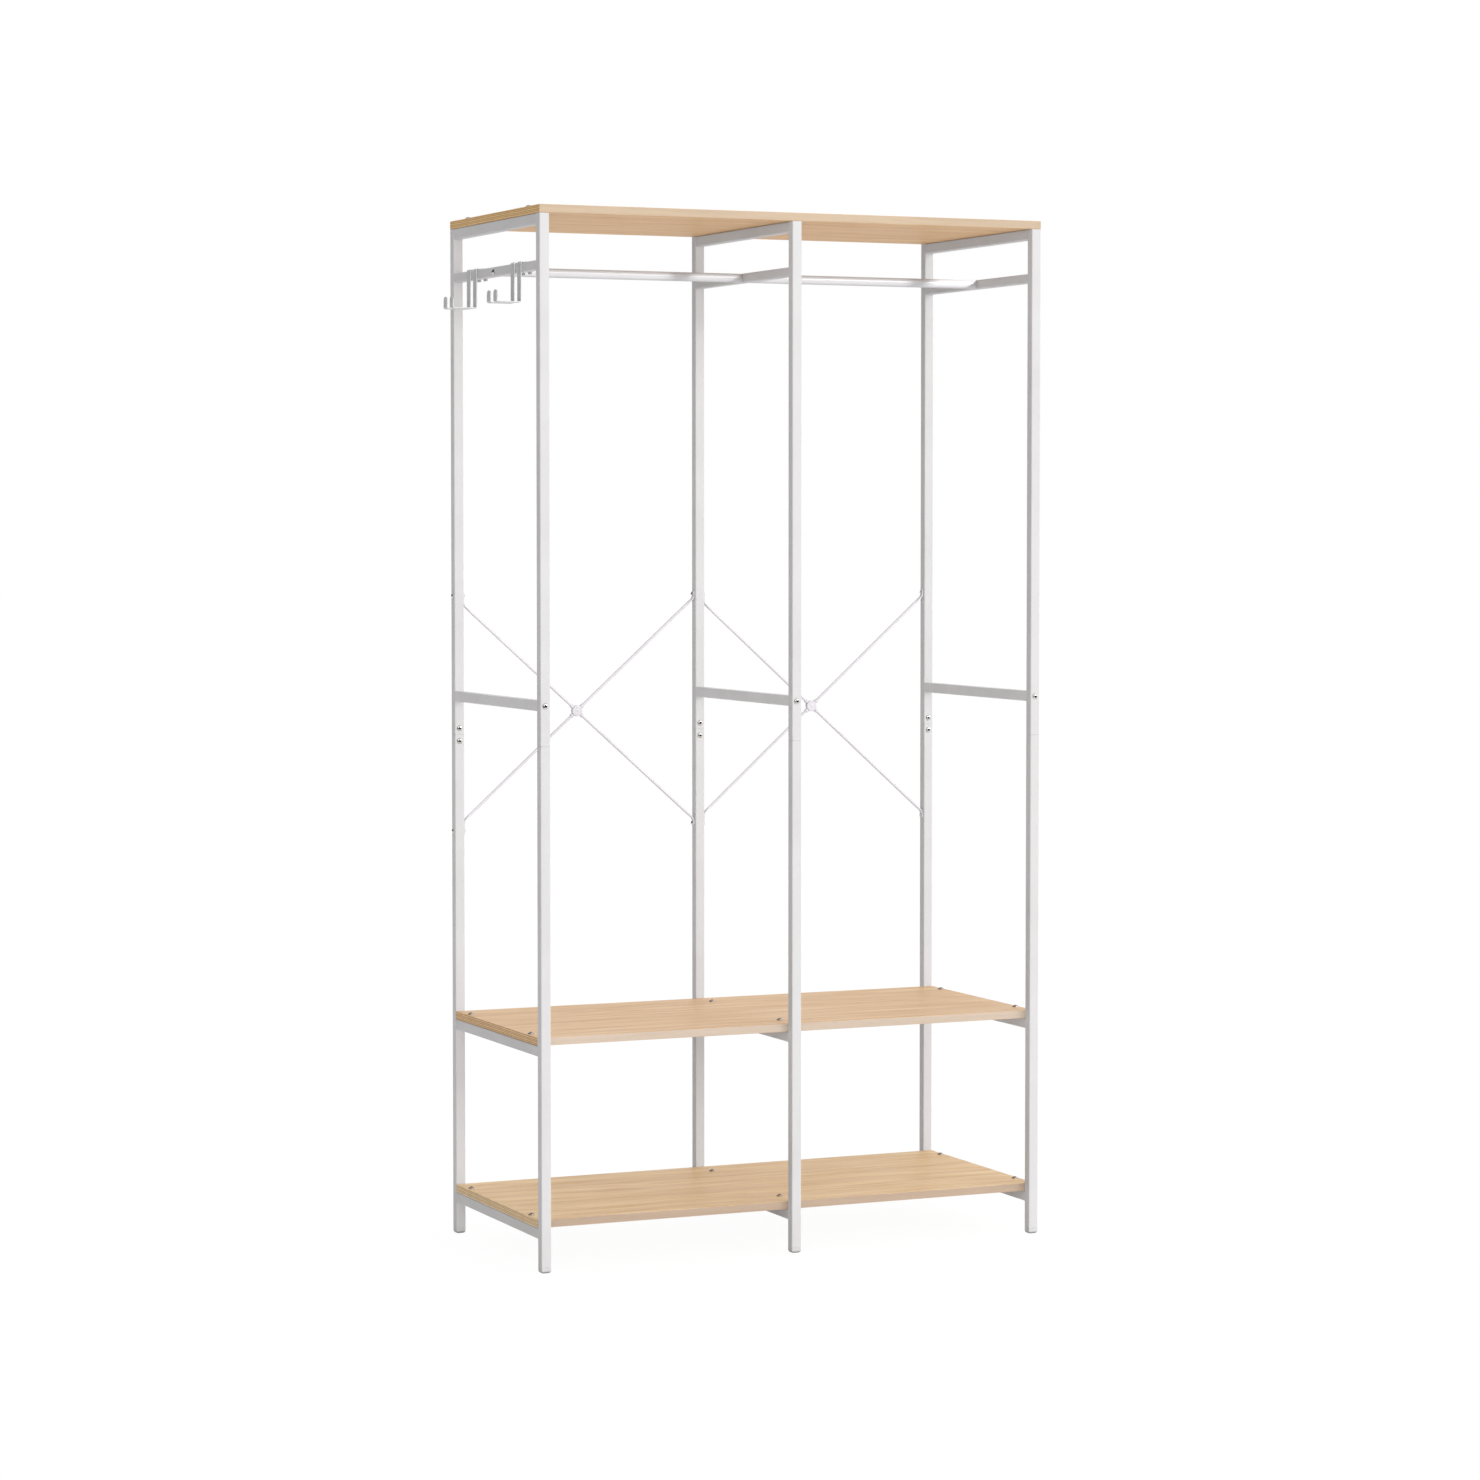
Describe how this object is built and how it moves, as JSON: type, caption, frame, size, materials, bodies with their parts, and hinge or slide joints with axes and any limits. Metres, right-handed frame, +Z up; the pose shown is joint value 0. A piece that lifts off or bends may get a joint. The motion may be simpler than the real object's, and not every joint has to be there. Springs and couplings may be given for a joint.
{
  "type": "open garment rack",
  "caption": "Open two-bay garment rack: white tube frames, oak boards, hanging rods, crossed wire braces and side hooks.",
  "frame": {"origin": "on the floor, under the middle of the space the rack occupies, hooks included", "axes": "+Z up, -Y to the front, +X to the right as seen from the front; the hooks hang on the -X side"},
  "size_m": [0.9974, 0.443, 1.8],
  "materials": {
    "frame_tube": "satin white powder coat",
    "oak_board": "matt light oak",
    "hanging_rod": "glossy white enamel",
    "foot_cap": "matt white",
    "joint_sleeve": "zinc plated",
    "bolt": "zinc plated",
    "brace_rod": "satin white enamel",
    "brace_hub": "satin white",
    "hook": "satin grey"
  },
  "bodies": {
    "rack": {"upper_frame_left": "frame_tube", "lower_frame_left": "frame_tube", "cross_bar_left": "frame_tube", "upper_frame_middle": "frame_tube", "lower_frame_middle": "frame_tube", "cross_bar_middle": "frame_tube", "upper_frame_right": "frame_tube", "lower_frame_right": "frame_tube", "cross_bar_right": "frame_tube", "top_board": "oak_board", "middle_shelf": "oak_board", "bottom_shelf": "oak_board", "hanging_rod_left": "hanging_rod", "hanging_rod_right": "hanging_rod", "foot_left_front": "foot_cap", "joint_sleeve_left_front": "joint_sleeve", "cross_bar_bolt_left_front": "bolt", "foot_left_back": "foot_cap", "joint_sleeve_left_back": "joint_sleeve", "cross_bar_bolt_left_back": "bolt", "foot_middle_front": "foot_cap", "joint_sleeve_middle_front": "joint_sleeve", "cross_bar_bolt_middle_front": "bolt", "foot_middle_back": "foot_cap", "joint_sleeve_middle_back": "joint_sleeve", "cross_bar_bolt_middle_back": "bolt", "foot_right_front": "foot_cap", "joint_sleeve_right_front": "joint_sleeve", "cross_bar_bolt_right_front": "bolt", "foot_right_back": "foot_cap", "joint_sleeve_right_back": "joint_sleeve", "cross_bar_bolt_right_back": "bolt", "rod_bolt_left": "bolt", "rod_bolt_right": "bolt", "rod_stud_middle": "bolt", "brace_bolt_left_upper": "bolt", "brace_bolt_left_lower": "bolt", "brace_bolt_middle_upper": "bolt", "brace_bolt_middle_lower": "bolt", "brace_bolt_right_upper": "bolt", "brace_bolt_right_lower": "bolt", "brace_hub_left": "brace_hub", "brace_rod_left_left_upper": "brace_rod", "brace_rod_left_left_lower": "brace_rod", "brace_rod_left_right_upper": "brace_rod", "brace_rod_left_right_lower": "brace_rod", "brace_hub_right": "brace_hub", "brace_rod_right_left_upper": "brace_rod", "brace_rod_right_left_lower": "brace_rod", "brace_rod_right_right_upper": "brace_rod", "brace_rod_right_right_lower": "brace_rod"},
    "hook_1": {"hook_1": "hook"},
    "hook_2": {"hook_2": "hook"},
    "hook_3": {"hook_3": "hook"},
    "hook_4": {"hook_4": "hook"}
  },
  "joints": [
    {"name": "hook_1_slide", "type": "slide", "parent": "rack", "child": "hook_1", "axis": [0, 1, 0], "range_m": [-0.0653, 0.007]},
    {"name": "hook_2_slide", "type": "slide", "parent": "rack", "child": "hook_2", "axis": [0, 1, 0], "range_m": [-0.007, 0.0787]},
    {"name": "hook_3_slide", "type": "slide", "parent": "rack", "child": "hook_3", "axis": [0, 1, 0], "range_m": [-0.0717, 0.007]},
    {"name": "hook_4_slide", "type": "slide", "parent": "rack", "child": "hook_4", "axis": [0, 1, 0], "range_m": [-0.007, 0.0723]}
  ]
}
